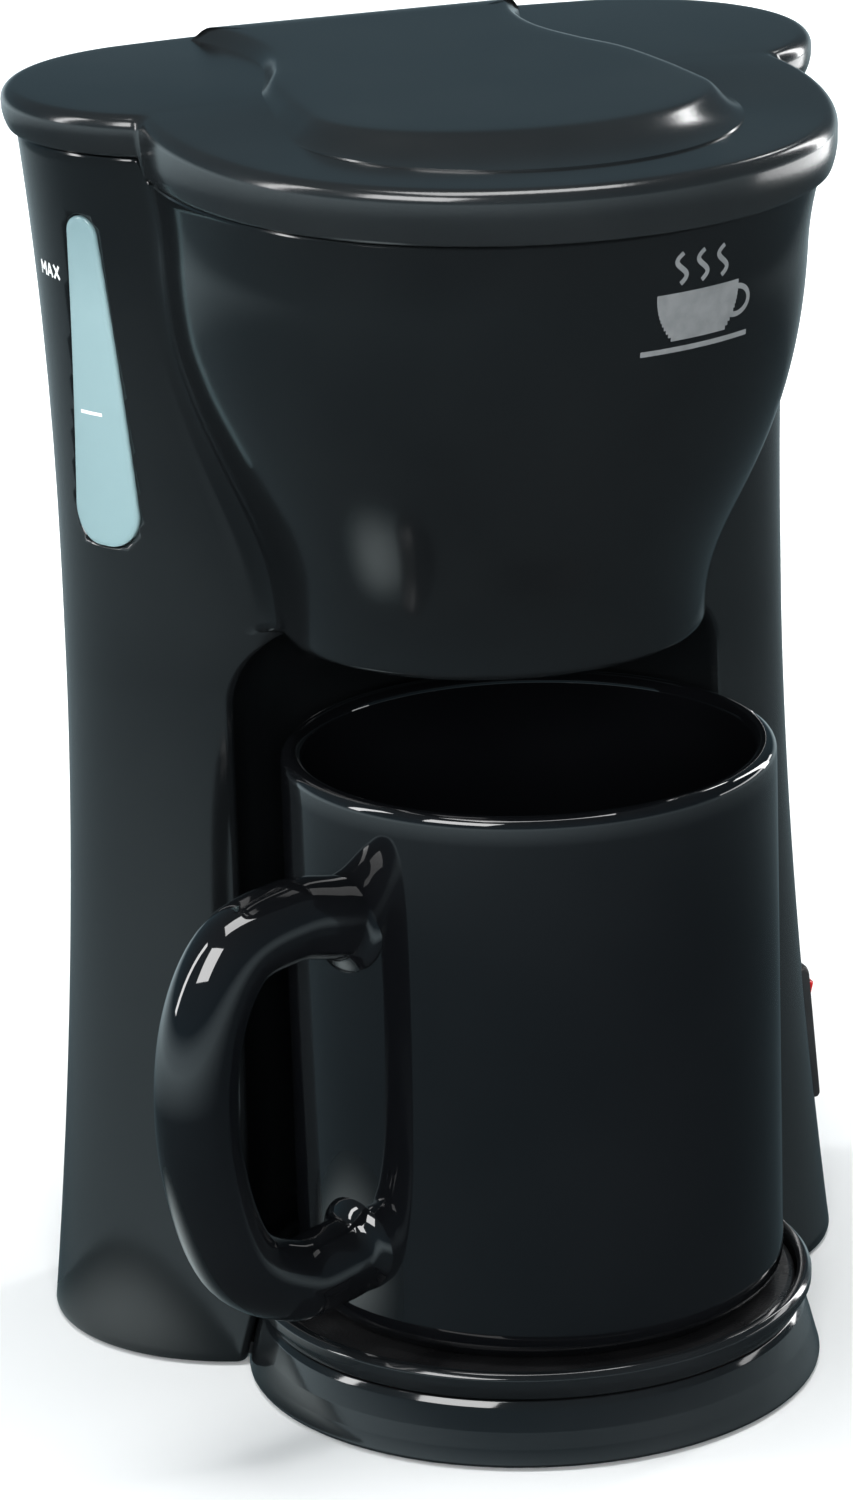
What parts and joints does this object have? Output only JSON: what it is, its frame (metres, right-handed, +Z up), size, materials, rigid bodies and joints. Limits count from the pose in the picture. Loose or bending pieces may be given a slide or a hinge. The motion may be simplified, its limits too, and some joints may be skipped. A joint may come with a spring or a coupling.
{
  "type": "drip coffee maker",
  "caption": "Drip coffee maker for one mug: a two-lobed tank column with a funnel over the mug niche, a hinged lid, a rocker switch and a stoneware mug on the warming plate.",
  "frame": {"origin": "centre of the overall box in plan, on the surface that the rubber feet stand on", "axes": "+Z up, -Y to the front where the mug is taken out, +X to the side with the switch"},
  "size_m": [0.1448, 0.142, 0.2213],
  "materials": {
    "housing_black": "glossy moulded plastic",
    "ring_black": "glossy moulded plastic",
    "plate_steel": "dark non-stick coat on pressed steel",
    "seal_red": "silicone",
    "seal_black": "soft rubber",
    "cover_black": "satin moulded plastic",
    "foot_rubber": "rubber",
    "screw_steel": "zinc plated",
    "pin_steel": "ground",
    "bracket_steel": "zinc plated strip",
    "window_clear": "clear moulded plastic",
    "tank_clear": "smoked clear plastic",
    "mesh_gold": "fine woven mesh, gold toned",
    "tube_alloy": "cast, satin",
    "element_steel": "heat tinted sheath",
    "terminal_brass": "plated",
    "sensor_body": "phenolic and glass sleeve",
    "hose_silicone": "milky silicone",
    "valve_white": "white moulded plastic",
    "lead_sleeve": "heat-proof sleeve",
    "rocker_red": "translucent red plastic",
    "mug_glaze": null
  },
  "bodies": {
    "body": {"base_cover": "cover_black", "base_screw_1": "screw_steel", "base_screw_2": "screw_steel", "base_screw_3": "screw_steel", "base_screw_4": "screw_steel", "basket_handle": "cover_black", "check_valve": "valve_white", "drip_nozzle": "cover_black", "element_terminal_1": "terminal_brass", "element_terminal_2": "terminal_brass", "filter_basket": "cover_black", "filter_mesh": "mesh_gold", "foot_housing": "housing_black", "fuse_lead": "lead_sleeve", "heater_bracket": "bracket_steel", "heater_inlet_hose": "hose_silicone", "heater_outlet_hose": "hose_silicone", "heater_screw_1": "screw_steel", "heater_screw_2": "screw_steel", "heater_tube": "tube_alloy", "heating_element": "element_steel", "hose_clamp_1": "bracket_steel", "hose_clamp_2": "bracket_steel", "hose_clamp_3": "bracket_steel", "inlet_gland": "seal_black", "level_window": "window_clear", "lid_hinge_pin": "pin_steel", "main_housing": "housing_black", "neutral_lead": "lead_sleeve", "outlet_spout": "cover_black", "plate_gasket": "seal_red", "plate_ring": "ring_black", "riser_tube": "tube_alloy", "rubber_foot_1": "foot_rubber", "rubber_foot_2": "foot_rubber", "rubber_foot_3": "foot_rubber", "rubber_foot_4": "foot_rubber", "switch_bezel": "cover_black", "switch_body": "cover_black", "switch_lead": "lead_sleeve", "tank_hose": "hose_silicone", "terminal_block": "valve_white", "thermal_fuse_1": "sensor_body", "thermal_fuse_2": "sensor_body", "thermostat": "sensor_body", "thermostat_clip": "bracket_steel", "warming_plate": "plate_steel", "water_tank": "tank_clear", "window_gasket": "seal_black"},
    "lid": {"lid": "housing_black"},
    "rocker": {"switch_rocker": "rocker_red"},
    "mug": {"mug": "mug_glaze"}
  },
  "joints": [
    {"name": "lid_hinge", "type": "hinge", "parent": "body", "child": "lid", "pos_m": [0.00125, 0.06785, 0.2096], "axis": [-1, 0, 0], "range_deg": [0, 100]},
    {"name": "switch_rocker", "type": "hinge", "parent": "body", "child": "rocker", "pos_m": [0.06916, 0.03015, 0.0352], "axis": [0, -1, 0], "range_deg": [0, 16]},
    {"name": "mug_slide", "type": "slide", "parent": "body", "child": "mug", "axis": [0, -0.9703, 0.2419], "range_m": [0, 0.12]}
  ]
}
